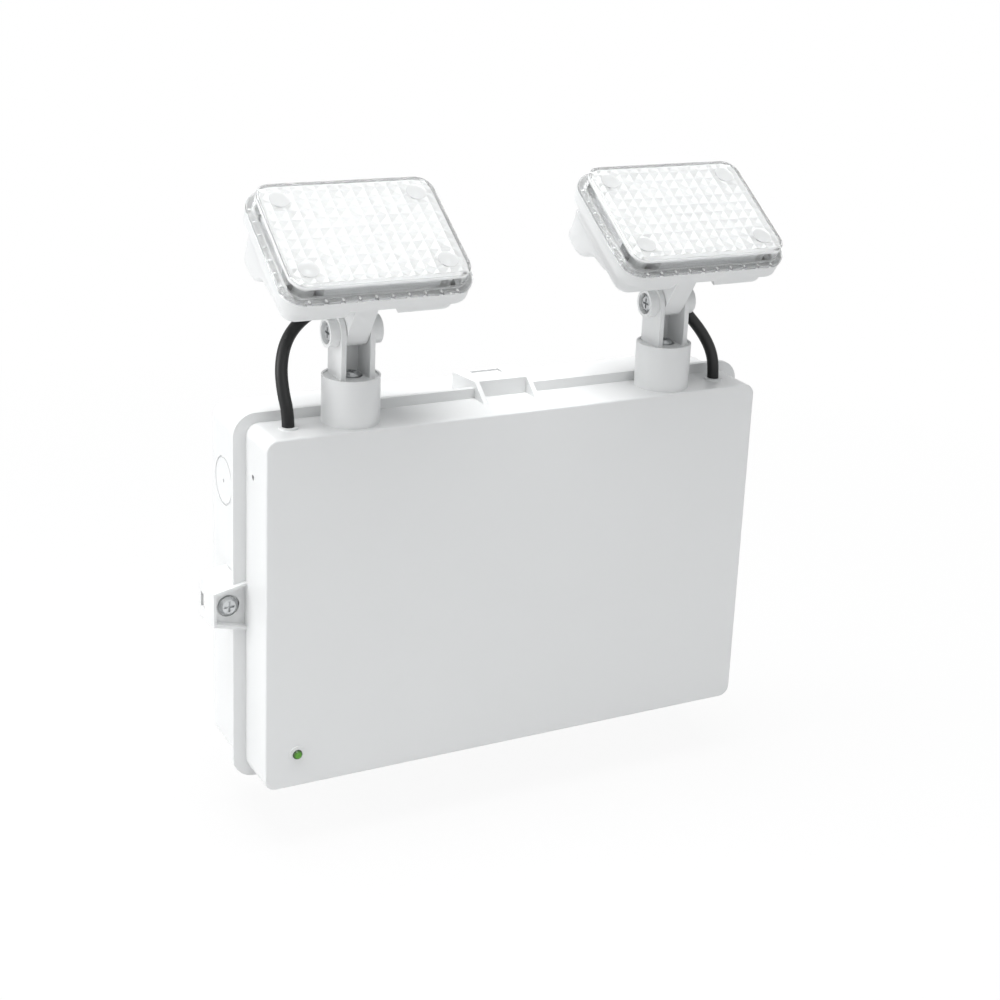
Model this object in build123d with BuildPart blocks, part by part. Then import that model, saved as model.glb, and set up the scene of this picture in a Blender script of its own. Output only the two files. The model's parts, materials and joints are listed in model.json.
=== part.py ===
from build123d import *
import os
from math import atan, cos, degrees, radians, sin, tan

# Twin-head emergency light for a wall, in millimetres.
# The origin is the centre of the wall fixings on the back plane. X runs to the right,
# Y back into the wall and Z up, so the front of the light faces -Y.
# Depths are distances in front of the wall, that is -Y.

os.makedirs("parts", exist_ok=True)

# Housing
face_width = 270.0
face_height = 179.5
face_corner = 6.0
face_edge = 1.0
overall_depth = 70.0
cover_depth = 27.2
draft = 0.3
wall = 2.2
flange_thick = 3.0
flange_side = 6.3
flange_top = 5.0
flange_corner = 11.0
tray_inset_side = 3.4
tray_inset_top = 5.3
tray_back = 2.5
tray_edge = 4.0
gasket_thick = 0.8
gasket_width = 1.4
head_gasket_width = 2.2

# Sockets, forks and pivots
head_x = 87.06
socket_depth = 53.9
socket_radius = 14.1
socket_rim = 1.0
socket_height = 23.0
socket_floor = 3.0
disc_thick = 3.9
disc_recess = 0.6
turning_fit = 0.1
pan_screw_radius = 2.5
washer_radius = 5.5
washer_thick = 0.8
ear_depth = 16.8
ear_thick = 2.5
ear_gap = 12.1
web_thick = 2.3
web_top = 7.8
pivot_rise = 21.2
boss_radius = 7.0
boss_length = 4.75
boss_recess_radius = 5.5
boss_recess_depth = 3.6
knuckle_width = 11.5
knuckle_radius = 7.0
pan_screw_head = 4.6
tilt_screw_radius = 2.5
tilt_screw_head = 4.7
nut_flats = 8.0
nut_thick = 3.0

# Heads: distances along the lens's own right, up and normal directions
lens_tilt = 56.8
lens_y = -66.1
lens_z = 185.2
lens_width = 88.85
lens_height = 65.3
lens_corner = 8.5
lens_depth = 7.8
lens_wall = 1.8
lens_face = 2.0
lip_overhang = 3.0
lip_thick = 1.6
lip_notch_radius = 1.1
lip_notch_pitch = 8.0
lip_notch_count = 10
lens_edge = 1.0
prism_pitch = 5.95
prism_depth = 0.9
prism_columns = 14
prism_rows = 10
rim_inset = 0.43
rim_corner = 11.0
rim_depth = 6.9
rim_wall = 3.0
tier_inset_side = 4.0
tier_inset_top = 5.7
tier_corner = 7.0
tier_depth = 12.2
tier_edge = 4.0
shell_wall = 2.0
hump_width = 54.0
hump_edge = 2.5
hump_corner = 5.0
hump_points = ((-4, -20), (-4, -28.5), (10, -42), (19, -45), (27, -40), (28, -20))
notch_floor_width = 30.0
notch_rim_width = 15.0
post_x = 34.0
post_y = 22.0
post_radius = 4.75
post_seat = 8.0
lens_screw_radius = 1.5
lens_screw_head = 3.0
lens_screw_grip = 4.5
lens_screw_hole = 5.0
lens_screw_sink = 3.0
reflector_gap = 0.6
reflector_wall = 1.2
reflector_front = 2.3
reflector_rim = 7.0
dish_inset = 9.0
dish_inset_top = 15.5
dish_taper = 30.0
dish_depth = 10.0
board_thick = 1.6
emitter_width = 3.5
emitter_height = 2.8
emitter_thick = 0.9
emitter_columns = 5
emitter_rows = 2
gland_radius = 3.9
gland_length = 7.0
gland_socket = 15.0
gland_lip = 5.0
gland_lip_thick = 1.4
gland_seat = 34.0

# Screws that hold the cover, and the lugs they sit in
lug_reach = 152.0
lug_half_outer = 8.65
lug_half_inner = 12.3
lug_flare = 2.3
lug_length = 20.0
lug_proud = 2.0
lug_wall = 1.3
lug_z = -2.0
lug_pocket = 2.2
lug_floor = 3.0
cover_screw_inset = 8.5
cover_screw_radius = 2.0
cover_screw_head = 4.85
cover_screw_length = 12.0
cover_screw_seat = 1.0
screw_room = 0.8
block_back = 24.0
block_gap = 1.8
catch_half_front = 15.7
catch_half_back = 18.4
catch_wall = 1.5
catch_top = 98.3
gusset_thick = 2.4
gusset_reach = 11.2
slot_left = -9.8
slot_right = 6.5
slot_front = 31.0
slot_back = 25.0
slot_height = 7.6
slot_drop = 1.0

# Lamp, test hole, cable entries and leads
led_x = -118.7
led_z = -72.3
led_radius = 2.5
led_base = 1.2
led_shoulder = 0.5
led_lift = 0.2
led_collar = 4.2
led_collar_thick = 0.8
led_sleeve = 5.0
led_sleeve_wall = 1.0
test_depth = 52.5
test_z = 66.5
test_hole_radius = 1.5
switch_size = 6.0
switch_length = 4.0
switch_bore = 2.5
switch_setback = 4.5
switch_travel = 0.5
button_reach = 3.0
knockout_radius = 12.4
knockout_depth_from_wall = 19.0
knockout_z = 54.0
groove_width = 1.0
groove_depth = 0.8
lead_radius = 3.0
lead_x = 118.75
lead_depth = 54.85
bush_wall = 1.1
bush_lip = 0.5
bush_lip_thick = 0.4
bush_reach = 0.6
small_clearance = 0.05
screw_clearance = 0.2

# Wall fixings
fixing_width = 220.0
fixing_height = 120.0
fixing_radius = 2.5
fixing_boss = 6.0
fixing_boss_height = 4.0

# Things inside the housing
battery_width = 70.0
battery_height = 101.0
battery_depth = 47.0
battery_x = -57.0
battery_z = -10.0
battery_edge = 1.5
tab_width = 6.3
tab_thick = 0.8
tab_height = 7.5
tab_inset = 10.0
tab_offset = 8.0
rib_thick = 2.0
rib_height = 12.0
strap_width = 16.0
strap_thick = 1.5
strap_foot = 12.0
strap_foot_gap = 2.0
inner_screw_radius = 1.5
inner_screw_head = 2.8
inner_screw_length = 6.0
board_width = 80.0
board_height = 108.0
board_x = 58.0
board_z = 0.0
board_lift = 8.0
stud_inset = 5.0
stud_radius = 3.5
lower_row = -22.0
upper_row = 22.0
core_x = -8.0
core_width = 42.0
core_height = 36.0
core_depth = 26.0
coil_width = 26.0
coil_height = 48.0
coil_depth = 20.0
capacitor_x = -13.0
capacitor_pitch = 18.0
capacitor_radius = 8.0
capacitor_height = 25.0
relay_x = 20.0
relay_width = 15.0
relay_height = 19.0
relay_depth = 15.5
terminal_pitch = 10.0
terminal_count = 5
terminal_height = 10.0
terminal_depth = 12.0
terminal_edge = 5.0
terminal_hole = 2.2
terminal_hole_depth = 4.0
sink_x = 28.0
sink_thick = 3.0
sink_height = 36.0
sink_depth = 22.0
fin_count = 6
fin_reach = 8.0
fin_thick = 1.4

# Values that follow
flange_front = overall_depth - cover_depth
flange_back = flange_front - flange_thick
flange_width = face_width + 2 * draft + 2 * flange_side
flange_height = face_height + 2 * draft + 2 * flange_top
cover_top = face_height / 2 + draft
draft_angle = degrees(atan(draft / cover_depth))
tray_width = flange_width - 2 * tray_inset_side
tray_height = flange_height - 2 * tray_inset_top
tray_corner = flange_corner - tray_inset_side
tray_rim = flange_back - gasket_thick
socket_top = cover_top + socket_height
disc_top = socket_top - disc_recess
disc_bottom = disc_top - disc_thick
floor_top = disc_bottom - turning_fit
floor_bottom = floor_top - socket_floor
disc_radius = socket_radius - socket_rim - turning_fit
pivot_z = socket_top + pivot_rise
pivot_y = -socket_depth
ear_outer = ear_gap / 2 + ear_thick
boss_outer = ear_outer + boss_length
tilt = radians(lens_tilt)
lens_normal = Vector(0, -cos(tilt), sin(tilt))
lens_up = Vector(0, sin(tilt), cos(tilt))
rim_front = lens_depth + lip_thick
tier_front = rim_front + rim_depth
tier_back = tier_front + tier_depth
pivot_up = (pivot_y - lens_y) * sin(tilt) + (pivot_z - lens_z) * cos(tilt)
pivot_back = (pivot_y - lens_y) * cos(tilt) - (pivot_z - lens_z) * sin(tilt)
lug_inner = flange_width / 2 - flange_side
cover_screw_x = lug_reach - cover_screw_inset
rim_width = lens_width + 2 * lip_overhang - 2 * rim_inset
rim_height = lens_height + 2 * lip_overhang - 2 * rim_inset
tier_width = rim_width - 2 * tier_inset_side
tier_height = rim_height - 2 * tier_inset_top
reflector_width = lens_width - 2 * lens_wall - 2 * reflector_gap
reflector_height = lens_height - 2 * lens_wall - 2 * reflector_gap
notch_floor = pivot_up - knuckle_radius
notch_depth = tier_height / 2 + notch_floor
ledge = tier_front - shell_wall
deck = reflector_front + reflector_rim
gasket_corner = rim_corner - gasket_thick
lens_screw_length = tier_back - lens_screw_sink - post_seat + lens_screw_grip
dish_width = reflector_width - 2 * dish_inset
dish_height = reflector_height - 2 * dish_inset_top
lug_front = flange_front + lug_proud
floor_front = flange_front - lug_pocket
floor_back = floor_front - lug_floor
sides = (("left", -1), ("right", 1))


def front(depth):
    """Plane parallel to the wall, a distance in front of it: x right, y up, normal forward."""
    return Plane.XZ.offset(depth)


def lens_plane(side_x, back):
    """Plane parallel to a head's lens, a distance behind its face."""
    origin = Vector(side_x, lens_y, lens_z) - lens_normal * back
    return Plane(origin=origin, x_dir=(1, 0, 0), z_dir=lens_normal)


def head_section(side_x):
    """Upright section of a head: x along the lens's up direction, y along its normal."""
    return Plane(origin=(side_x, lens_y, lens_z), x_dir=lens_up, z_dir=(1, 0, 0))


def screw(head_radius, shank_radius, shank_length):
    """Pan head screw with a cross recess, its head standing on z = 0."""
    head_height = head_radius * 0.58
    recess = head_radius * 1.1
    with BuildPart() as body:
        with BuildSketch(Plane.XZ):
            with BuildLine():
                Polyline(
                    (0, head_height), (0, -shank_length), (shank_radius, -shank_length),
                    (shank_radius, 0), (head_radius, 0), (head_radius, head_height * 0.5),
                    (head_radius * 0.7, head_height), close=True,
                )
            make_face()
        revolve(axis=Axis.Z)
        with BuildSketch(Plane.XY.offset(head_height)):
            Rectangle(recess, head_radius * 0.24)
            Rectangle(head_radius * 0.24, recess)
        extrude(amount=-head_height * 0.55, mode=Mode.SUBTRACT)
    return body.part


def hex_nut(flats, thick, hole_radius):
    """Hexagon nut standing on z = 0."""
    with BuildPart() as body:
        with BuildSketch():
            RegularPolygon(radius=flats / 2, side_count=6, major_radius=False)
            Circle(hole_radius, mode=Mode.SUBTRACT)
        extrude(amount=thick)
    return body.part


# Front cover: drafted box, flange, side lugs, top lug and the two sockets in one moulding
with BuildPart() as front_cover:
    with BuildSketch(front(flange_front)):
        RectangleRounded(face_width + 2 * draft, face_height + 2 * draft, face_corner)
    extrude(amount=cover_depth, taper=draft_angle)
    fillet(front_cover.edges().group_by(Axis.Y)[0], face_edge)
    with BuildSketch(front(flange_back)):
        RectangleRounded(flange_width, flange_height, flange_corner)
    extrude(amount=flange_thick)
    # Side lugs: hoods that narrow outwards and flare towards the wall
    for side in (-1, 1):
        with BuildSketch(front(lug_front)):
            with BuildLine():
                Polyline(
                    (side * lug_inner, lug_z - lug_half_inner),
                    (side * lug_reach, lug_z - lug_half_outer),
                    (side * lug_reach, lug_z + lug_half_outer),
                    (side * lug_inner, lug_z + lug_half_inner),
                    close=True,
                )
            make_face()
        with BuildSketch(front(flange_front - lug_length)):
            with BuildLine():
                Polyline(
                    (side * lug_inner, lug_z - lug_half_inner - lug_flare),
                    (side * lug_reach, lug_z - lug_half_outer - lug_flare),
                    (side * lug_reach, lug_z + lug_half_outer + lug_flare),
                    (side * lug_inner, lug_z + lug_half_inner + lug_flare),
                    close=True,
                )
            make_face()
        loft()
    # Top lug: flaring hood with two gussets that slope down onto the cover
    with BuildSketch(front(flange_front)):
        with Locations((0, (cover_top + catch_top) / 2)):
            Rectangle(2 * catch_half_front, catch_top - cover_top)
    with BuildSketch(front(flange_front - lug_length)):
        with Locations((0, (cover_top + catch_top) / 2)):
            Rectangle(2 * catch_half_back, catch_top - cover_top)
    loft()
    for side in (-1, 1):
        with BuildSketch(Plane.YZ.offset(side * (catch_half_front - gusset_thick / 2))):
            with BuildLine():
                Polyline(
                    (-flange_front, catch_top),
                    (-flange_front - gusset_reach, cover_top - draft),
                    (-flange_front, cover_top - wall / 2),
                    close=True,
                )
            make_face()
        extrude(amount=gusset_thick / 2, both=True)
    # Sockets
    with BuildSketch(Plane.XY.offset(cover_top - wall)):
        with Locations((-head_x, pivot_y), (head_x, pivot_y)):
            Circle(socket_radius)
    extrude(amount=wall + socket_height)
    # Flat seats for the lead bushes
    with BuildSketch(Plane.XY.offset(cover_top - wall)):
        with Locations((-lead_x, -lead_depth), (lead_x, -lead_depth)):
            Circle(lead_radius + bush_wall + bush_lip)
    extrude(amount=wall + draft)
    # Hollow
    with BuildSketch(front(flange_back)):
        RectangleRounded(
            face_width + 2 * draft - 2 * wall, face_height + 2 * draft - 2 * wall, face_corner - wall,
        )
    extrude(amount=flange_thick + cover_depth - wall, taper=draft_angle, mode=Mode.SUBTRACT)
    with BuildSketch(Plane.XY.offset(floor_top)):
        with Locations((-head_x, pivot_y), (head_x, pivot_y)):
            Circle(socket_radius - socket_rim)
    extrude(amount=socket_top - floor_top, mode=Mode.SUBTRACT)
    with BuildSketch(Plane.XY.offset(cover_top - 2 * wall)):
        with Locations((-head_x, pivot_y), (head_x, pivot_y)):
            Circle(socket_radius - wall)
    extrude(amount=floor_bottom - cover_top + 2 * wall, mode=Mode.SUBTRACT)
    with BuildSketch(Plane.XY.offset(floor_bottom)):
        with Locations((-head_x, pivot_y), (head_x, pivot_y)):
            Circle(pan_screw_radius + turning_fit)
    extrude(amount=socket_floor, mode=Mode.SUBTRACT)
    with BuildSketch(Plane.XY.offset(cover_top - 2 * wall)):
        with Locations((-lead_x, -lead_depth), (lead_x, -lead_depth)):
            Circle(lead_radius + bush_wall + small_clearance)
    extrude(amount=3 * wall, mode=Mode.SUBTRACT)
    # Side lugs: pocket in front, screw seat, room for the tray's block behind, catch slot
    for side in (-1, 1):
        with BuildSketch(front(floor_front)):
            with BuildLine():
                Polyline(
                    (side * lug_inner, lug_z - lug_half_inner + lug_wall),
                    (side * (lug_reach - lug_wall), lug_z - lug_half_outer + lug_wall),
                    (side * (lug_reach - lug_wall), lug_z + lug_half_outer - lug_wall),
                    (side * lug_inner, lug_z + lug_half_inner - lug_wall),
                    close=True,
                )
            make_face()
        extrude(amount=lug_pocket + lug_proud, mode=Mode.SUBTRACT)
        with BuildSketch(front(flange_front - lug_length)):
            with BuildLine():
                Polyline(
                    (side * lug_inner, lug_z - lug_half_inner - lug_flare + lug_wall),
                    (side * (lug_reach - lug_wall), lug_z - lug_half_outer - lug_flare + lug_wall),
                    (side * (lug_reach - lug_wall), lug_z + lug_half_outer + lug_flare - lug_wall),
                    (side * lug_inner, lug_z + lug_half_inner + lug_flare - lug_wall),
                    close=True,
                )
            make_face()
        with BuildSketch(front(floor_back)):
            with BuildLine():
                Polyline(
                    (side * lug_inner, lug_z - lug_half_inner + lug_wall),
                    (side * (lug_reach - lug_wall), lug_z - lug_half_outer + lug_wall),
                    (side * (lug_reach - lug_wall), lug_z + lug_half_outer - lug_wall),
                    (side * lug_inner, lug_z + lug_half_inner - lug_wall),
                    close=True,
                )
            make_face()
        loft(mode=Mode.SUBTRACT)
        with BuildSketch(front(floor_front)):
            with Locations((side * cover_screw_x, lug_z)):
                Circle(cover_screw_head + screw_room)
        extrude(amount=-cover_screw_seat, mode=Mode.SUBTRACT)
        with BuildSketch(front(floor_front)):
            with Locations((side * cover_screw_x, lug_z)):
                Circle(cover_screw_radius + screw_clearance)
        extrude(amount=-lug_floor, mode=Mode.SUBTRACT)
        with BuildSketch(Plane.YZ.offset(side * lug_reach)):
            with Locations((-(slot_front + slot_back) / 2, lug_z - slot_drop)):
                Rectangle(slot_front - slot_back, slot_height)
        extrude(amount=-side * lug_wall * 1.5, mode=Mode.SUBTRACT)
    # Top lug: room for the tray's catch, and its slot
    with BuildSketch(front(flange_front - lug_length)):
        with Locations((0, (cover_top + catch_top - catch_wall) / 2)):
            Rectangle(2 * (catch_half_back - catch_wall), catch_top - catch_wall - cover_top)
    with BuildSketch(front(flange_back)):
        with Locations((0, (cover_top + catch_top - catch_wall) / 2)):
            Rectangle(2 * (catch_half_front - catch_wall), catch_top - catch_wall - cover_top)
    loft(mode=Mode.SUBTRACT)
    with BuildSketch(Plane.XY.offset(catch_top)):
        with Locations(((slot_left + slot_right) / 2, -(slot_front + slot_back) / 2)):
            Rectangle(slot_right - slot_left, slot_front - slot_back)
    extrude(amount=-catch_wall * 1.5, mode=Mode.SUBTRACT)
    # Behind the flange the hoods keep clear of the tray's walls
    with BuildSketch(front(flange_front - lug_length)):
        RectangleRounded(tray_width + draft, tray_height + draft, tray_corner)
    extrude(amount=lug_length - flange_thick, mode=Mode.SUBTRACT)
    # Lamp hole and test hole
    with BuildSketch(front(overall_depth)):
        with Locations((led_x, led_z)):
            Circle(led_radius + led_sleeve_wall + small_clearance)
    extrude(amount=-2 * wall, mode=Mode.SUBTRACT)
    with BuildSketch(Plane.YZ.offset(-face_width / 2 - 2 * draft)):
        with Locations((-test_depth, test_z)):
            Circle(test_hole_radius)
    extrude(amount=2 * wall, mode=Mode.SUBTRACT)
    # Cradle for the test switch, behind its hole
    with BuildSketch(Plane.YZ.offset(-face_width / 2 + wall - draft)):
        with Locations((-test_depth, test_z)):
            Rectangle(switch_size, switch_size + 2 * rib_thick)
            Rectangle(switch_size, switch_size, mode=Mode.SUBTRACT)
    extrude(amount=2 * switch_size)
front_cover.part.label = "front_cover"
export_step(front_cover.part, "parts/front_cover.step")

# Rear housing: open tray with rounded back edges
with BuildPart() as rear_housing:
    with BuildSketch(front(0)):
        RectangleRounded(tray_width, tray_height, tray_corner)
    extrude(amount=tray_rim)
    fillet(rear_housing.edges().group_by(Axis.Y)[-1], tray_edge)
    with BuildSketch(front(tray_back)):
        RectangleRounded(tray_width - 2 * wall, tray_height - 2 * wall, tray_corner - wall)
    extrude(amount=tray_rim - tray_back, mode=Mode.SUBTRACT)
    # Bosses and holes for the wall screws
    with BuildSketch(front(tray_back)):
        with GridLocations(fixing_width, fixing_height, 2, 2):
            Circle(fixing_boss)
    extrude(amount=fixing_boss_height)
    with BuildSketch(front(0)):
        with GridLocations(fixing_width, fixing_height, 2, 2):
            Circle(fixing_radius)
    extrude(amount=tray_back + fixing_boss_height, mode=Mode.SUBTRACT)
    # Studs for the board, and for the strap's feet
    with BuildSketch(front(tray_back)):
        with Locations((board_x, board_z)):
            with GridLocations(board_width - 2 * stud_inset, board_height - 2 * stud_inset, 2, 2):
                Circle(stud_radius)
                Circle(inner_screw_radius + small_clearance, mode=Mode.SUBTRACT)
    extrude(amount=board_lift - tray_back)
    with BuildSketch(front(tray_back)):
        with Locations((battery_x, battery_z)):
            with GridLocations(battery_width + 2 * strap_thick + strap_foot, 0, 2, 1):
                Rectangle(strap_foot - strap_foot_gap, strap_width)
                Circle(inner_screw_radius + small_clearance, mode=Mode.SUBTRACT)
    extrude(amount=board_lift - tray_back)
    # Shelf and stop ribs round the battery
    with BuildSketch(front(tray_back)):
        with Locations((battery_x, battery_z)):
            with GridLocations(0, battery_height + rib_thick, 1, 2):
                Rectangle(battery_width, rib_thick)
    extrude(amount=rib_height)
    # Blocks that take the cover screws
    for side in (-1, 1):
        with BuildSketch(Plane.YZ.offset(side * tray_width / 2)):
            with Locations((-(floor_back + block_back) / 2, lug_z)):
                Rectangle(floor_back - block_back, 2 * (lug_half_outer - lug_wall) - 1)
        extrude(amount=side * (lug_reach - lug_wall - tray_width / 2 - block_gap))
        with BuildSketch(front(floor_back)):
            with Locations((side * cover_screw_x, lug_z)):
                Circle(cover_screw_radius + small_clearance)
        extrude(amount=-cover_screw_length, mode=Mode.SUBTRACT)
    # Catch that snaps into the top lug's slot
    with BuildSketch(Plane.XY.offset(tray_height / 2)):
        with Locations(((slot_left + slot_right) / 2, -(slot_front + slot_back) / 2)):
            Rectangle(slot_right - slot_left - 1, slot_front - slot_back - 1)
    extrude(amount=catch_top - catch_wall / 2 - tray_height / 2)
    # Round cable entries: a thin groove and a centre mark on both sides
    for side in (-1, 1):
        with BuildSketch(Plane.YZ.offset(side * tray_width / 2)):
            with Locations((-knockout_depth_from_wall, knockout_z)):
                Circle(knockout_radius)
                Circle(knockout_radius - groove_width, mode=Mode.SUBTRACT)
                Circle(groove_width)
        extrude(amount=-side * groove_depth, mode=Mode.SUBTRACT)
rear_housing.part.label = "rear_housing"
export_step(rear_housing.part, "parts/rear_housing.step")

# Seal between tray and cover
with BuildPart() as housing_gasket:
    with BuildSketch(front(tray_rim)):
        RectangleRounded(tray_width - wall + gasket_width, tray_height - wall + gasket_width, tray_corner)
        RectangleRounded(
            tray_width - wall - gasket_width, tray_height - wall - gasket_width,
            tray_corner - gasket_width, mode=Mode.SUBTRACT,
        )
    extrude(amount=gasket_thick)
housing_gasket.part.label = "housing_gasket"
export_step(housing_gasket.part, "parts/housing_gasket.step")

# Two screws that hold the cover to the tray
cover_screw = screw(cover_screw_head, cover_screw_radius, cover_screw_length)
with BuildPart() as cover_screws:
    for side in (-1, 1):
        with Locations(front(floor_front - cover_screw_seat).location):
            with Locations((side * cover_screw_x, lug_z)):
                add(cover_screw)
cover_screws.part.label = "cover_screws"
export_step(cover_screws.part, "parts/cover_screws.step")

# Charge lamp and the collar that holds it in the face
with BuildPart() as led_holder:
    with BuildSketch(front(overall_depth)):
        with Locations((led_x, led_z)):
            Circle(led_collar)
    extrude(amount=led_collar_thick)
    with BuildSketch(front(overall_depth)):
        with Locations((led_x, led_z)):
            Circle(led_radius + led_sleeve_wall)
    extrude(amount=-led_sleeve)
    with BuildSketch(front(overall_depth + led_collar_thick)):
        with Locations((led_x, led_z)):
            Circle(led_radius + small_clearance)
    extrude(amount=-led_sleeve - led_collar_thick, mode=Mode.SUBTRACT)
led_holder.part.label = "led_holder"
export_step(led_holder.part, "parts/led_holder.step")

with BuildPart() as indicator_led:
    with BuildSketch(Plane.XZ):
        with BuildLine():
            Polyline(
                (0, -led_sleeve - led_base), (led_radius + led_shoulder, -led_sleeve - led_base),
                (led_radius + led_shoulder, -led_sleeve), (led_radius, -led_sleeve),
            )
            Line((led_radius, -led_sleeve), (led_radius, led_lift))
            CenterArc((0, led_lift), led_radius, 0, 90)
            Line((0, led_lift + led_radius), (0, -led_sleeve - led_base))
        make_face()
    revolve(axis=Axis.Z)
led_place = Plane(origin=(led_x, -overall_depth, led_z), z_dir=(0, -1, 0))
indicator_led.part.locate(led_place.location)
indicator_led.part.label = "indicator_led"
export_step(indicator_led.part, "parts/indicator_led.step")

# Test switch in its cradle, and the plunger that a pin pushes in through the hole
switch_face = -face_width / 2 + wall + switch_setback
plunger_radius = test_hole_radius - turning_fit
with BuildPart() as test_switch:
    with BuildSketch(Plane.YZ.offset(switch_face)):
        with Locations((-test_depth, test_z)):
            Rectangle(switch_size, switch_size)
    extrude(amount=switch_length)
    with BuildSketch(Plane.YZ.offset(switch_face)):
        with Locations((-test_depth, test_z)):
            Circle(plunger_radius + turning_fit)
    extrude(amount=switch_bore, mode=Mode.SUBTRACT)
test_switch.part.label = "test_switch"
export_step(test_switch.part, "parts/test_switch.step")

with BuildPart() as test_button:
    with BuildSketch(Plane.YZ.offset(switch_face - button_reach)):
        with Locations((-test_depth, test_z)):
            Circle(plunger_radius)
    extrude(amount=button_reach + switch_bore - switch_travel)
test_button.part.label = "test_button"
export_step(test_button.part, "parts/test_button.step")

# Battery with its two terminals, and the strap over it
with BuildPart() as battery:
    with BuildSketch(front(tray_back)):
        with Locations((battery_x, battery_z)):
            Rectangle(battery_width, battery_height)
    extrude(amount=battery_depth)
    fillet(battery.edges().filter_by(Axis.Z), battery_edge)
battery.part.label = "battery"
export_step(battery.part, "parts/battery.step")

with BuildPart() as battery_terminals:
    with BuildSketch(Plane.XY.offset(battery_z + battery_height / 2)):
        with Locations((battery_x, -tray_back - battery_depth / 2 - tab_offset)):
            with GridLocations(battery_width - 2 * tab_inset, 0, 2, 1):
                Rectangle(tab_thick, tab_width)
    extrude(amount=tab_height)
battery_terminals.part.label = "battery_terminals"
export_step(battery_terminals.part, "parts/battery_terminals.step")

strap_top = tray_back + battery_depth
strap_side = battery_width / 2
with BuildPart() as battery_strap:
    with BuildSketch(Plane.XY.offset(battery_z)):
        with BuildLine():
            Polyline(
                (battery_x - strap_side - strap_foot, -board_lift),
                (battery_x - strap_side, -board_lift),
                (battery_x - strap_side, -strap_top),
                (battery_x + strap_side, -strap_top),
                (battery_x + strap_side, -board_lift),
                (battery_x + strap_side + strap_foot, -board_lift),
            )
            offset(amount=-strap_thick, side=Side.RIGHT)
        make_face()
    extrude(amount=strap_width / 2, both=True)
    with BuildSketch(front(board_lift)):
        with Locations((battery_x, battery_z)):
            with GridLocations(battery_width + 2 * strap_thick + strap_foot, 0, 2, 1):
                Circle(inner_screw_radius + screw_clearance)
    extrude(amount=strap_thick, mode=Mode.SUBTRACT)
battery_strap.part.label = "battery_strap"
export_step(battery_strap.part, "parts/battery_strap.step")

small_screw = screw(inner_screw_head, inner_screw_radius, inner_screw_length)
with BuildPart() as strap_screws:
    with Locations(front(board_lift + strap_thick).location):
        with Locations((battery_x, battery_z)):
            with GridLocations(battery_width + 2 * strap_thick + strap_foot, 0, 2, 1):
                add(small_screw)
strap_screws.part.label = "strap_screws"
export_step(strap_screws.part, "parts/strap_screws.step")

# Charger board and what stands on it
board_front = board_lift + board_thick
with BuildPart() as charger_board:
    with BuildSketch(front(board_lift)):
        with Locations((board_x, board_z)):
            Rectangle(board_width, board_height)
            with GridLocations(board_width - 2 * stud_inset, board_height - 2 * stud_inset, 2, 2):
                Circle(inner_screw_radius + screw_clearance, mode=Mode.SUBTRACT)
    extrude(amount=board_thick)
charger_board.part.label = "charger_board"
export_step(charger_board.part, "parts/charger_board.step")

with BuildPart() as board_screws:
    with Locations(front(board_front).location):
        with Locations((board_x, board_z)):
            with GridLocations(board_width - 2 * stud_inset, board_height - 2 * stud_inset, 2, 2):
                add(small_screw)
board_screws.part.label = "board_screws"
export_step(board_screws.part, "parts/board_screws.step")

with BuildPart() as transformer:
    with BuildSketch(front(board_front)):
        with Locations((board_x + core_x, board_z + lower_row)):
            Rectangle(core_width, core_height)
    extrude(amount=core_depth)
    with BuildSketch(front(board_front)):
        with Locations((board_x + core_x, board_z + lower_row)):
            Rectangle(coil_width, coil_height)
    extrude(amount=coil_depth)
transformer.part.label = "transformer"
export_step(transformer.part, "parts/transformer.step")

with BuildPart() as capacitors:
    with BuildSketch(front(board_front)):
        with Locations((board_x + capacitor_x, board_z + upper_row)):
            with GridLocations(capacitor_pitch, 0, 2, 1):
                Circle(capacitor_radius)
    extrude(amount=capacitor_height)
capacitors.part.label = "capacitors"
export_step(capacitors.part, "parts/capacitors.step")

with BuildPart() as relay:
    with BuildSketch(front(board_front)):
        with Locations((board_x + relay_x, board_z + upper_row)):
            Rectangle(relay_width, relay_height)
    extrude(amount=relay_depth)
relay.part.label = "relay"
export_step(relay.part, "parts/relay.step")

terminal_z = board_z + board_height / 2 - terminal_edge - terminal_height / 2
with BuildPart() as terminal_block:
    with BuildSketch(front(board_front)):
        with Locations((board_x, terminal_z)):
            Rectangle(terminal_count * terminal_pitch, terminal_height)
    extrude(amount=terminal_depth)
    with BuildSketch(front(board_front + terminal_depth)):
        with Locations((board_x, terminal_z)):
            with GridLocations(terminal_pitch, 0, terminal_count, 1):
                Circle(terminal_hole)
    extrude(amount=-terminal_hole_depth, mode=Mode.SUBTRACT)
terminal_block.part.label = "terminal_block"
export_step(terminal_block.part, "parts/terminal_block.step")

# Heat sink: a plate with upright fins
with BuildPart() as heat_sink:
    with BuildSketch(front(board_front)):
        with Locations((board_x + sink_x, board_z + lower_row)):
            Rectangle(sink_thick, sink_height)
            with Locations((-fin_reach / 2 - sink_thick / 2 + small_clearance, 0)):
                with GridLocations(0, (sink_height - fin_thick) / (fin_count - 1), 1, fin_count):
                    Rectangle(fin_reach, fin_thick)
    extrude(amount=sink_depth)
heat_sink.part.label = "heat_sink"
export_step(heat_sink.part, "parts/heat_sink.step")

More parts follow.
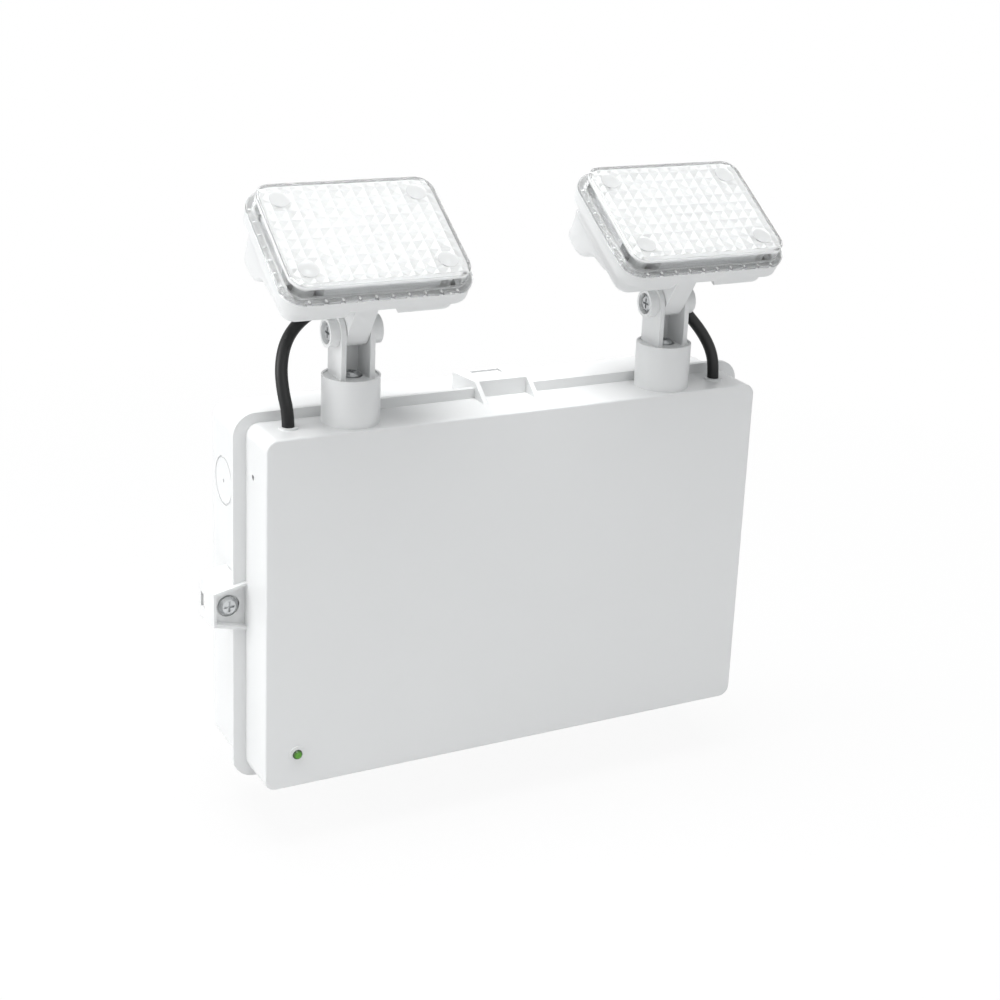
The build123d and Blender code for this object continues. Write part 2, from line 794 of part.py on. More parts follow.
# Lead routes, from inside the cover to inside the head
lead_end = Vector(0, lens_y, lens_z) - lens_normal * 29.6
lead_turn = Vector(0, lens_y, lens_z) - lens_normal * 41.0
routes = {
    "left": [
        (-lead_x, -lead_depth, 86), (-lead_x, -lead_depth, 96.5), (-120.3, -51.5, 107),
        (-120.0, -47.5, 118.5), (-115.5, -42.5, 129.5), (-106.5, -38.8, 137.5), (-95.3, -38.6, 143),
        (-head_x, lead_turn.Y, lead_turn.Z), (-head_x, lead_end.Y, lead_end.Z),
    ],
    "right": [
        (lead_x, -lead_depth, 86), (lead_x, -lead_depth, 95.5), (118.6, -51.8, 104.5),
        (115.6, -46.3, 113.5), (109.2, -41.3, 122.5), (101.2, -38.2, 132), (92.8, -38.8, 141),
        (head_x, lead_turn.Y, lead_turn.Z), (head_x, lead_end.Y, lead_end.Z),
    ],
}

for side_name, side in sides:
    side_x = side * head_x

    # Fork: disc that turns in the socket, two ears with bosses, and a web behind
    with BuildPart() as fork:
        with BuildSketch(Plane.XY.offset(disc_bottom)):
            with Locations((side_x, pivot_y)):
                Circle(disc_radius)
        extrude(amount=disc_thick)
        with BuildSketch(Plane.YZ.offset(side_x - ear_outer)):
            with Locations((pivot_y, pivot_z)):
                Circle(ear_depth / 2)
            with Locations((pivot_y, (pivot_z + disc_top) / 2)):
                Rectangle(ear_depth, pivot_z - disc_top)
        extrude(amount=2 * ear_outer)
        with BuildSketch(Plane.YZ.offset(side_x - ear_gap / 2)):
            with Locations((pivot_y - web_thick / 2, (pivot_z + disc_top) / 2 + ear_depth / 2)):
                Rectangle(ear_depth - web_thick, pivot_z - disc_top + ear_depth)
            with Locations((pivot_y, pivot_z - web_top + ear_depth)):
                Rectangle(ear_depth + 1, 2 * ear_depth)
        extrude(amount=ear_gap, mode=Mode.SUBTRACT)
        with BuildSketch(Plane.YZ.offset(side_x - boss_outer)):
            with Locations((pivot_y, pivot_z)):
                Circle(boss_radius)
        extrude(amount=boss_length)
        with BuildSketch(Plane.YZ.offset(side_x + ear_outer)):
            with Locations((pivot_y, pivot_z)):
                Circle(boss_radius)
        extrude(amount=boss_length)
        with BuildSketch(Plane.YZ.offset(side_x - boss_outer)):
            with Locations((pivot_y, pivot_z)):
                Circle(boss_recess_radius)
        extrude(amount=boss_recess_depth, mode=Mode.SUBTRACT)
        with BuildSketch(Plane.YZ.offset(side_x + boss_outer)):
            with Locations((pivot_y, pivot_z)):
                RegularPolygon(radius=nut_flats / 2 + 0.1, side_count=6, major_radius=False)
        extrude(amount=-boss_recess_depth, mode=Mode.SUBTRACT)
        with BuildSketch(Plane.YZ.offset(side_x - boss_outer)):
            with Locations((pivot_y, pivot_z)):
                Circle(tilt_screw_radius + small_clearance)
        extrude(amount=2 * boss_outer, mode=Mode.SUBTRACT)
        with BuildSketch(Plane.XY.offset(disc_top)):
            with Locations((side_x, pivot_y)):
                Circle(washer_radius + turning_fit)
        extrude(amount=-2 * washer_thick, mode=Mode.SUBTRACT)
        with BuildSketch(Plane.XY.offset(disc_bottom)):
            with Locations((side_x, pivot_y)):
                Circle(pan_screw_radius + small_clearance)
        extrude(amount=disc_thick, mode=Mode.SUBTRACT)
    fork.part.label = f"{side_name}_fork"
    export_step(fork.part, f"parts/{side_name}_fork.step")

    # Screw, washer and nut that hold the fork down in its socket
    washer_bottom = disc_top - 2 * washer_thick
    pan_shank = washer_bottom + washer_thick - floor_bottom + nut_thick + 1
    pan_axis = Plane(origin=(side_x, pivot_y, washer_bottom + washer_thick))
    with BuildPart() as pan_screw:
        with Locations(pan_axis.location):
            add(screw(pan_screw_head, pan_screw_radius, pan_shank))
    pan_screw.part.label = f"{side_name}_pan_screw"
    export_step(pan_screw.part, f"parts/{side_name}_pan_screw.step")

    with BuildPart() as pan_washer:
        with BuildSketch(Plane.XY.offset(washer_bottom)):
            with Locations((side_x, pivot_y)):
                Circle(washer_radius)
                Circle(pan_screw_radius + small_clearance, mode=Mode.SUBTRACT)
        extrude(amount=washer_thick)
    pan_washer.part.label = f"{side_name}_pan_washer"
    export_step(pan_washer.part, f"parts/{side_name}_pan_washer.step")

    nut_plane = Plane(origin=(side_x, pivot_y, floor_bottom - turning_fit - nut_thick))
    with BuildPart() as pan_nut:
        with Locations(nut_plane.location):
            add(hex_nut(nut_flats, nut_thick, pan_screw_radius + small_clearance))
    pan_nut.part.label = f"{side_name}_pan_nut"
    export_step(pan_nut.part, f"parts/{side_name}_pan_nut.step")

    # Pivot screw through both ears, with its nut in the other boss
    head_seat = side_x - boss_outer + boss_recess_depth
    tilt_shank = 2 * (boss_outer - boss_recess_depth) + nut_thick
    tilt_axis = Plane(origin=(head_seat, pivot_y, pivot_z), x_dir=(0, 1, 0), z_dir=(-1, 0, 0))
    with BuildPart() as tilt_screw:
        with Locations(tilt_axis.location):
            add(screw(tilt_screw_head, tilt_screw_radius, tilt_shank))
    tilt_screw.part.label = f"{side_name}_tilt_screw"
    export_step(tilt_screw.part, f"parts/{side_name}_tilt_screw.step")

    nut_seat = side_x + boss_outer - boss_recess_depth
    nut_axis = Plane(origin=(nut_seat, pivot_y, pivot_z), x_dir=(0, 1, 0), z_dir=(1, 0, 0))
    with BuildPart() as tilt_nut:
        with Locations(nut_axis.location):
            add(hex_nut(nut_flats, nut_thick, tilt_screw_radius + small_clearance))
    tilt_nut.part.label = f"{side_name}_tilt_nut"
    export_step(tilt_nut.part, f"parts/{side_name}_tilt_nut.step")

    # Head shell: two stepped tiers, a hump behind the upper half and the pivot knuckle
    section = head_section(side_x)
    with BuildPart() as head_shell:
        with BuildSketch(lens_plane(side_x, tier_back)):
            RectangleRounded(tier_width, tier_height, tier_corner)
        extrude(amount=tier_depth)
        fillet(head_shell.faces().sort_by(Axis((0, 0, 0), lens_normal))[0].edges(), tier_edge)
        with BuildSketch(lens_plane(side_x, tier_front)):
            RectangleRounded(rim_width, rim_height, rim_corner)
        extrude(amount=rim_depth)
        with BuildSketch(section.offset(-hump_width / 2)) as hump_outline:
            with BuildLine():
                Polyline(*hump_points, close=True)
            make_face()
            fillet(hump_outline.vertices().group_by(Axis((0, 0, 0), lens_normal))[0], hump_corner)
        extrude(amount=hump_width)
        hump_ends = head_shell.faces().filter_by(Axis.X).filter_by(
            lambda face: abs(abs(face.center().X - side_x) - hump_width / 2) < 0.01
        )
        hump_start = section.origin.dot(lens_normal) - tier_back - 1
        hump_rim = ShapeList()
        for end in hump_ends:
            hump_rim += end.edges().filter_by(
                lambda edge: edge.center().dot(lens_normal) < hump_start
            )
        fillet(hump_rim, hump_edge)
        with BuildSketch(section.offset(-knuckle_width / 2)):
            with Locations((pivot_up, -pivot_back)):
                Circle(knuckle_radius)
            with Locations((pivot_up, -(pivot_back + tier_back - 1) / 2)):
                Rectangle(2 * knuckle_radius, pivot_back - tier_back + 1)
        extrude(amount=knuckle_width)
        with BuildSketch(lens_plane(side_x, gland_seat)):
            Circle(gland_lip + screw_clearance)
        extrude(amount=gland_seat - tier_back + shell_wall)
        # Hollow
        with BuildSketch(lens_plane(side_x, tier_front - shell_wall)):
            RectangleRounded(rim_width - 2 * rim_wall, rim_height - 2 * rim_wall, rim_corner - rim_wall)
        extrude(amount=rim_depth - shell_wall, mode=Mode.SUBTRACT)
        with BuildSketch(lens_plane(side_x, tier_back - shell_wall)):
            RectangleRounded(
                tier_width - 2 * shell_wall, tier_height - 2 * shell_wall, tier_corner - shell_wall,
            )
        extrude(amount=tier_depth, mode=Mode.SUBTRACT)
        with BuildSketch(section.offset(-hump_width / 2 + shell_wall)) as hump_room:
            with BuildLine():
                Polyline(*hump_points, close=True)
            make_face()
            offset(amount=-shell_wall, kind=Kind.INTERSECTION)
        extrude(amount=hump_width - 2 * shell_wall, mode=Mode.SUBTRACT)
        # Notch in the lower wall, down to the knuckle's front face
        with BuildSketch(section.offset(-notch_floor_width / 2 - shell_wall)):
            with Locations((notch_floor - notch_depth / 2 + shell_wall, -(ledge + tier_depth / 2))):
                Rectangle(notch_depth + shell_wall / 2, tier_depth)
        extrude(amount=notch_floor_width + 2 * shell_wall)
        notch_plane = Plane(
            origin=Vector(side_x, lens_y, lens_z) + lens_up * notch_floor,
            x_dir=(1, 0, 0), z_dir=lens_up * -1,
        )
        with BuildSketch(notch_plane):
            with BuildLine():
                Polyline(
                    (-notch_rim_width / 2, -tier_front), (-notch_floor_width / 2, -tier_back - 1),
                    (notch_floor_width / 2, -tier_back - 1), (notch_rim_width / 2, -tier_front),
                    close=True,
                )
            make_face()
        extrude(amount=tier_height, mode=Mode.SUBTRACT)
        # Posts that the lens screws pull on, open at the back
        with BuildSketch(lens_plane(side_x, tier_back - shell_wall / 2)):
            with GridLocations(2 * post_x, 2 * post_y, 2, 2):
                Circle(post_radius)
        extrude(amount=tier_back - shell_wall / 2 - post_seat)
        with BuildSketch(lens_plane(side_x, tier_back)):
            with GridLocations(2 * post_x, 2 * post_y, 2, 2):
                Circle(lens_screw_radius + screw_clearance)
        extrude(amount=tier_back - post_seat, mode=Mode.SUBTRACT)
        with BuildSketch(lens_plane(side_x, tier_back)):
            with GridLocations(2 * post_x, 2 * post_y, 2, 2):
                Circle(lens_screw_head + small_clearance * 10)
        extrude(amount=lens_screw_sink, mode=Mode.SUBTRACT)
        # Pivot bore, and the seat and bore of the gland
        with BuildSketch(section.offset(-knuckle_width / 2)):
            with Locations((pivot_up, -pivot_back)):
                Circle(tilt_screw_radius + turning_fit)
        extrude(amount=knuckle_width, mode=Mode.SUBTRACT)
        with BuildSketch(lens_plane(side_x, gland_seat)):
            Circle(gland_lip + screw_clearance)
        extrude(amount=-gland_socket, mode=Mode.SUBTRACT)
        with BuildSketch(lens_plane(side_x, gland_seat)):
            Circle(gland_radius + small_clearance)
        extrude(amount=gland_socket, mode=Mode.SUBTRACT)
        # Groove for the seal
        with BuildSketch(lens_plane(side_x, rim_front + gasket_thick)):
            RectangleRounded(
                rim_width - rim_wall + head_gasket_width, rim_height - rim_wall + head_gasket_width,
                gasket_corner,
            )
            RectangleRounded(
                rim_width - rim_wall - head_gasket_width, rim_height - rim_wall - head_gasket_width,
                gasket_corner - head_gasket_width, mode=Mode.SUBTRACT,
            )
        extrude(amount=gasket_thick, mode=Mode.SUBTRACT)
    head_shell.part.label = f"{side_name}_head_shell"
    export_step(head_shell.part, f"parts/{side_name}_head_shell.step")

    with BuildPart() as head_gasket:
        with BuildSketch(lens_plane(side_x, rim_front + gasket_thick)):
            RectangleRounded(
                rim_width - rim_wall + head_gasket_width, rim_height - rim_wall + head_gasket_width,
                gasket_corner,
            )
            RectangleRounded(
                rim_width - rim_wall - head_gasket_width, rim_height - rim_wall - head_gasket_width,
                gasket_corner - head_gasket_width, mode=Mode.SUBTRACT,
            )
        extrude(amount=gasket_thick)
    head_gasket.part.label = f"{side_name}_head_gasket"
    export_step(head_gasket.part, f"parts/{side_name}_head_gasket.step")

    # Lens: clear pan with a notched lip, prisms inside its face and four screw posts
    with BuildPart() as lens:
        with BuildSketch(lens_plane(side_x, lens_depth)):
            RectangleRounded(lens_width, lens_height, lens_corner)
        extrude(amount=lens_depth)
        fillet(lens.faces().sort_by(Axis((0, 0, 0), lens_normal))[-1].edges(), lens_edge)
        with BuildSketch(lens_plane(side_x, rim_front)):
            RectangleRounded(
                lens_width + 2 * lip_overhang, lens_height + 2 * lip_overhang, lens_corner + lip_overhang,
            )
        extrude(amount=lip_thick)
        with BuildSketch(lens_plane(side_x, rim_front)):
            RectangleRounded(
                lens_width - 2 * lens_wall, lens_height - 2 * lens_wall, lens_corner - lens_wall,
            )
        extrude(amount=rim_front - lens_face, mode=Mode.SUBTRACT)
        # Crossed grooves leave a field of small pyramids
        with BuildSketch(Plane(origin=(side_x, lens_y, lens_z), x_dir=(1, 0, 0), z_dir=lens_up)):
            with GridLocations(prism_pitch, 0, prism_columns, 1):
                Polygon(
                    (-prism_pitch / 2, lens_face), (0, lens_face - prism_depth),
                    (prism_pitch / 2, lens_face), align=None,
                )
        extrude(amount=prism_rows * prism_pitch / 2, both=True, mode=Mode.SUBTRACT)
        with BuildSketch(head_section(side_x)):
            with GridLocations(prism_pitch, 0, prism_rows, 1):
                Polygon(
                    (-prism_pitch / 2, -lens_face), (0, prism_depth - lens_face),
                    (prism_pitch / 2, -lens_face), align=None,
                )
        extrude(amount=prism_columns * prism_pitch / 2, both=True, mode=Mode.SUBTRACT)
        with BuildSketch(lens_plane(side_x, lens_face - prism_depth)):
            with GridLocations(2 * post_x, 2 * post_y, 2, 2):
                Circle(post_radius)
        extrude(amount=lens_face - prism_depth - post_seat)
        with BuildSketch(lens_plane(side_x, post_seat)):
            with GridLocations(2 * post_x, 2 * post_y, 2, 2):
                Circle(lens_screw_radius + small_clearance)
        extrude(amount=lens_screw_hole, mode=Mode.SUBTRACT)
        with BuildSketch(lens_plane(side_x, rim_front)):
            with GridLocations(lip_notch_pitch, lens_height + 2 * lip_overhang, lip_notch_count, 2):
                Circle(lip_notch_radius)
        extrude(amount=lip_thick, mode=Mode.SUBTRACT)
    lens.part.label = f"{side_name}_lens"
    export_step(lens.part, f"parts/{side_name}_lens.step")

    lens_screw = screw(lens_screw_head, lens_screw_radius, lens_screw_length)
    with BuildPart() as lens_screws:
        seat = lens_plane(side_x, tier_back - lens_screw_sink)
        back_view = Plane(origin=seat.origin, x_dir=(1, 0, 0), z_dir=lens_normal * -1)
        with Locations(back_view.location):
            with GridLocations(2 * post_x, 2 * post_y, 2, 2):
                add(lens_screw)
    lens_screws.part.label = f"{side_name}_lens_screws"
    export_step(lens_screws.part, f"parts/{side_name}_lens_screws.step")

    # Reflector: rim wall, flat deck and tapered dish, with its corners set back round the posts
    with BuildPart() as reflector:
        with BuildSketch(lens_plane(side_x, ledge)) as rim_outline:
            Rectangle(reflector_width, reflector_height)
            with GridLocations(reflector_width, reflector_height, 2, 2):
                Rectangle(
                    reflector_width - 2 * (post_x - post_radius - 1),
                    reflector_height - 2 * (post_y - post_radius - 1), mode=Mode.SUBTRACT,
                )
        extrude(amount=ledge - reflector_front)
        with BuildSketch(lens_plane(side_x, deck)) as rim_room:
            Rectangle(reflector_width, reflector_height)
            with GridLocations(reflector_width, reflector_height, 2, 2):
                Rectangle(
                    reflector_width - 2 * (post_x - post_radius - 1),
                    reflector_height - 2 * (post_y - post_radius - 1), mode=Mode.SUBTRACT,
                )
            offset(amount=-reflector_wall, kind=Kind.INTERSECTION)
        extrude(amount=deck - reflector_front, mode=Mode.SUBTRACT)
        with BuildSketch(lens_plane(side_x, ledge)):
            Rectangle(reflector_width, reflector_height)
            with GridLocations(reflector_width, reflector_height, 2, 2):
                Rectangle(
                    reflector_width - 2 * (post_x - post_radius - 1),
                    reflector_height - 2 * (post_y - post_radius - 1), mode=Mode.SUBTRACT,
                )
            offset(amount=-reflector_wall, kind=Kind.INTERSECTION)
        extrude(amount=ledge - deck - reflector_wall, mode=Mode.SUBTRACT)
        with BuildSketch(lens_plane(side_x, deck)):
            Rectangle(dish_width + 2 * reflector_wall, dish_height + 2 * reflector_wall)
        extrude(amount=-dish_depth - reflector_wall, taper=dish_taper)
        with BuildSketch(lens_plane(side_x, deck)):
            Rectangle(dish_width, dish_height)
        extrude(amount=-dish_depth, taper=dish_taper, mode=Mode.SUBTRACT)
    reflector.part.label = f"{side_name}_reflector"
    export_step(reflector.part, f"parts/{side_name}_reflector.step")

    # Board on the dish's floor, with its rows of emitters
    dish_floor = deck + dish_depth
    floor_width = dish_width - 2 * dish_depth * tan(radians(dish_taper))
    floor_height = dish_height - 2 * dish_depth * tan(radians(dish_taper))
    with BuildPart() as led_board:
        with BuildSketch(lens_plane(side_x, dish_floor)):
            Rectangle(floor_width - 1, floor_height - 1)
        extrude(amount=board_thick)
    led_board.part.label = f"{side_name}_led_board"
    export_step(led_board.part, f"parts/{side_name}_led_board.step")

    with BuildPart() as leds:
        with BuildSketch(lens_plane(side_x, dish_floor - board_thick)):
            with GridLocations(
                floor_width / (emitter_columns + 1), floor_height / (emitter_rows + 1),
                emitter_columns, emitter_rows,
            ):
                Rectangle(emitter_width, emitter_height)
        extrude(amount=emitter_thick)
    leds.part.label = f"{side_name}_leds"
    export_step(leds.part, f"parts/{side_name}_leds.step")

    # Bushes of the lead: gland in the head's back, bush in the cover's top
    with BuildPart() as head_gland:
        with BuildSketch(lens_plane(side_x, gland_seat)):
            Circle(gland_radius)
        extrude(amount=gland_length)
        with BuildSketch(lens_plane(side_x, gland_seat + gland_lip_thick)):
            Circle(gland_lip)
        extrude(amount=gland_lip_thick)
        with BuildSketch(lens_plane(side_x, gland_seat + gland_lip_thick)):
            Circle(lead_radius + small_clearance)
        extrude(amount=gland_length + gland_lip_thick, mode=Mode.SUBTRACT)
    head_gland.part.label = f"{side_name}_head_gland"
    export_step(head_gland.part, f"parts/{side_name}_head_gland.step")

    seat_top = cover_top + draft
    with BuildPart() as cover_bush:
        with BuildSketch(Plane.XY.offset(cover_top - wall - bush_reach)):
            with Locations((side * lead_x, -lead_depth)):
                Circle(lead_radius + bush_wall)
        extrude(amount=seat_top - cover_top + wall + bush_reach)
        with BuildSketch(Plane.XY.offset(seat_top)):
            with Locations((side * lead_x, -lead_depth)):
                Circle(lead_radius + bush_wall + bush_lip)
        extrude(amount=bush_lip_thick)
        with BuildSketch(Plane.XY.offset(cover_top - wall - bush_reach)):
            with Locations((side * lead_x, -lead_depth)):
                Circle(lead_radius + small_clearance)
        extrude(amount=2 * wall + 3, mode=Mode.SUBTRACT)
    cover_bush.part.label = f"{side_name}_cover_bush"
    export_step(cover_bush.part, f"parts/{side_name}_cover_bush.step")

    # Lead: straight runs joined by arcs as large as the runs allow
    points = [Vector(*p) for p in routes[side_name]]
    radii = []
    for i in range(1, len(points) - 1):
        before = points[i] - points[i - 1]
        after = points[i + 1] - points[i]
        turn = radians(before.get_angle(after))
        radii.append(0.45 * min(before.length, after.length) / tan(turn / 2))
    with BuildPart() as lead:
        with BuildLine() as path:
            FilletPolyline(*points, radius=radii)
        with BuildSketch(Plane(origin=points[0], z_dir=points[1] - points[0])):
            Circle(lead_radius)
        sweep()
    lead.part.label = f"{side_name}_lead"
    export_step(lead.part, f"parts/{side_name}_lead.step")
    route_length = path.wires()[0].length
    section_area = lead.faces().sort_by(Axis.Z)[0].area
    print(side_name, "lead: length", round(route_length, 1), "radii", [round(r, 1) for r in radii])
    print("volume", round(lead.part.volume), "section times length", round(section_area * route_length))
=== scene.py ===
import json
import math

import bmesh
import bpy
from mathutils import Matrix, Vector


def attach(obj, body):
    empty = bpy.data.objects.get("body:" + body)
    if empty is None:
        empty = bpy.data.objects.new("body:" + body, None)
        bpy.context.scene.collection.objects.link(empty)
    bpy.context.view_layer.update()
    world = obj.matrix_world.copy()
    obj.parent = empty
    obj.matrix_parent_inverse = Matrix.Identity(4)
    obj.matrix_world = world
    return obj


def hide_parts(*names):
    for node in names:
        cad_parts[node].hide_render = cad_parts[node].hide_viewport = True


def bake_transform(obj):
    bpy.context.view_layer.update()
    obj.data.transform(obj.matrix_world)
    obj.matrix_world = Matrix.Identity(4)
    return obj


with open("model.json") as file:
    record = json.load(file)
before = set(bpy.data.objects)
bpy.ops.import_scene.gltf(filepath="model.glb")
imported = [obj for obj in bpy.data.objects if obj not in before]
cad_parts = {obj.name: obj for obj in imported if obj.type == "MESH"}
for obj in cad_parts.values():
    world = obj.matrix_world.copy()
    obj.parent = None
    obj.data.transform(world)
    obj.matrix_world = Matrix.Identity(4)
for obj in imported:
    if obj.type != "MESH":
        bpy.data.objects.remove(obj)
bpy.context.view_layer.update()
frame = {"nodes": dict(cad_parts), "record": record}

MM = 0.001

# Camera, matched to the photograph's perspective
CAMERA_AZIMUTH = -27.914
CAMERA_ELEVATION = 16.599
CAMERA_ROLL = 2.459
CAMERA_PLACE = (-0.40185, -0.79801, 0.35626)
CAMERA_LENS_MM = 64.14
CAMERA_SHIFT_Y = -0.12665

# Places and sizes on the light, as the CAD model has them, in millimetres
HEAD_X = 87.06
LENS_WIDTH = 88.85
LENS_HEIGHT = 65.3
LENS_DEPTH = 7.8
LIP_OVERHANG = 3.0
PRISM_FLOOR = 2.1
POST_PLACE = (34.0, 22.0)
TIER_BACK = 28.5
CHARGE_LAMP_PLACE = (-118.7, -70.0, -72.3)

# Both heads lean alike: middle of the lens face (here at x = 0), its way up and its way out
LENS_TILT = math.radians(56.8)
LENS_CENTRE = Vector((0, -66.1, 185.2)) * MM
LENS_UP = Vector((0, math.sin(LENS_TILT), math.cos(LENS_TILT)))
LENS_OUT = Vector((0, -math.cos(LENS_TILT), math.sin(LENS_TILT)))

# How much light each zone of the lens lets straight through, 1 being all of it; the rest is painted milky
# white, standing in for light that the clear plastic scatters
FACE_CLARITY = 0.86
PRISM_CLARITY = 0.3
LIP_CLARITY = 0.8
POST_CLARITY = 0.6

# Where those zones begin and how softly, in millimetres
SKIN_END = 0.4
PRISM_START = 0.9
WALL_BLEND = 0.3
POST_ZONE = 4.85
POST_BLEND = 0.4

# Painted shade darkens the charge lamp from its core to its edge, in millimetres from its axis
LAMP_CORE = 1.3
LAMP_EDGE = 2.4

# Outer ends of the hump behind a lamp head, which the CAD shell has over its middle only.
# The profile runs up the lens and out of its face, in millimetres.
BULGE_FRONT = -25.0
BULGE_PROFILE = [
    (29.0, BULGE_FRONT), (27.9, -31.0), (27.7, -43.0), (22.0, -43.6), (14.5, -43.6), (8.5, -40.5),
    (2.0, -31.8), (-6.0, -30.4), (-16.0, -28.4), (-16.0, BULGE_FRONT),
]
BULGE_MIDDLE = (12.0, BULGE_FRONT)
BULGE_REACH = (24.0, 42.4)
BULGE_HALF_SIZE = 24.0
BULGE_FLARE = 1.03
BULGE_EDGE = 4.5
BULGE_EDGE_STEPS = 8
SCREW_WELL_RADIUS = 3.6
SCREW_WELL_LENGTH = 30.0
SCREW_WELL_MIDDLE = -TIER_BACK - 8.0

# Nibs along the front of a lens lip
NIB_HEIGHT = 0.5
NIB_ROW_SHIFT = 0.6
NIB_SIZES = {
    "Lip Width": (LENS_WIDTH + LIP_OVERHANG + NIB_ROW_SHIFT) * MM,
    "Lip Height": (LENS_HEIGHT + LIP_OVERHANG + NIB_ROW_SHIFT) * MM,
    "Pitch": 8 * MM, "Long Count": 10, "Short Count": 7,
    "Nib Length": 2.0 * MM, "Nib Width": 1.3 * MM, "Nib Height": NIB_HEIGHT * MM,
}

# Lead routes, in millimetres, from inside the cover to inside the head
LEAD_RADIUS = 3.0
LEFT_ROUTE = [
    (-118.75, -54.85, 86), (-118.75, -54.85, 96.5), (-120.3, -51.5, 107),
    (-120.0, -47.5, 118.5), (-115.5, -42.5, 129.5), (-106.5, -38.8, 137.5), (-95.3, -38.6, 143),
    (-87.06, -43.65, 150.89), (-87.06, -49.89, 160.43),
]
RIGHT_ROUTE = [
    (118.75, -54.85, 86), (118.75, -54.85, 95.5), (118.6, -51.8, 104.5),
    (115.6, -46.3, 113.5), (109.2, -41.3, 122.5), (101.2, -38.2, 132), (92.8, -38.8, 141),
    (87.06, -43.65, 150.89), (87.06, -49.89, 160.43),
]

# Level, in metres, where a lead's two lengths meet: above the fork's seat and below its pivot
LEAD_MEETING_Z = 0.1285

# Stage, in metres
FLOOR_Z = -0.125
LIGHT_TARGET = (0, -0.05, 0.05)


def linear(code):
    """sRGB hex colour as linear red, green, blue and alpha."""
    values = [int(code[i:i + 2], 16) / 255 for i in (1, 3, 5)]
    return [v / 12.92 if v <= 0.04045 else ((v + 0.055) / 1.055) ** 2.4 for v in values] + [1.0]


def node(tree, kind, settings=None, links=None):
    """Add one node, set its sockets or properties, and link sockets to others' outputs."""
    made = tree.nodes.new(kind)
    for key, value in (settings or {}).items():
        if isinstance(key, int) or key in made.inputs:
            made.inputs[key].default_value = value
        else:
            setattr(made, key, value)
    for key, source in (links or {}).items():
        tree.links.new(source, made.inputs[key])
    return made


def add_object(name, data):
    """A new object in the scene, with its mesh, curve, camera or light."""
    made = bpy.data.objects.new(name, data)
    bpy.context.collection.objects.link(made)
    return made


def shader(name, settings):
    """A new material with its Principled shader set, ready for patterns."""
    material = bpy.data.materials.new(name)
    material.use_nodes = True
    tree = material.node_tree
    tree.nodes.clear()
    surface = node(tree, "ShaderNodeBsdfPrincipled", settings)
    node(tree, "ShaderNodeOutputMaterial", links={"Surface": surface.outputs["BSDF"]})
    return material, tree, surface


def grain(tree, surface, size_mm, depth_mm, strength):
    """Fine bump of a given grain size over a surface."""
    place = node(tree, "ShaderNodeTexCoord")
    noise = node(
        tree, "ShaderNodeTexNoise", {"Scale": 1 / (size_mm * MM), "Detail": 3.0, "Roughness": 0.6},
        {"Vector": place.outputs["Object"]},
    )
    bump = node(
        tree, "ShaderNodeBump", {"Strength": strength, "Distance": depth_mm * MM},
        {"Height": noise.outputs["Fac"]},
    )
    tree.links.new(bump.outputs["Normal"], surface.inputs["Normal"])
    return noise


def vary_roughness(tree, surface, noise, smoothest, roughest):
    """Roughness that wanders between two values with the grain."""
    shade = node(
        tree, "ShaderNodeMapRange",
        {"From Min": 0.3, "From Max": 0.7, "To Min": smoothest, "To Max": roughest},
        {"Value": noise.outputs["Fac"]},
    )
    tree.links.new(shade.outputs["Result"], surface.inputs["Roughness"])


def white_abs():
    """Moulded white ABS: even colour, soft wide highlights from a fine spark-eroded texture."""
    material, tree, surface = shader(
        "moulded_white_abs", {"Base Color": linear("#DEDFDF"), "IOR": 1.53},
    )
    vary_roughness(tree, surface, grain(tree, surface, 0.9, 0.02, 0.12), 0.30, 0.40)
    return material


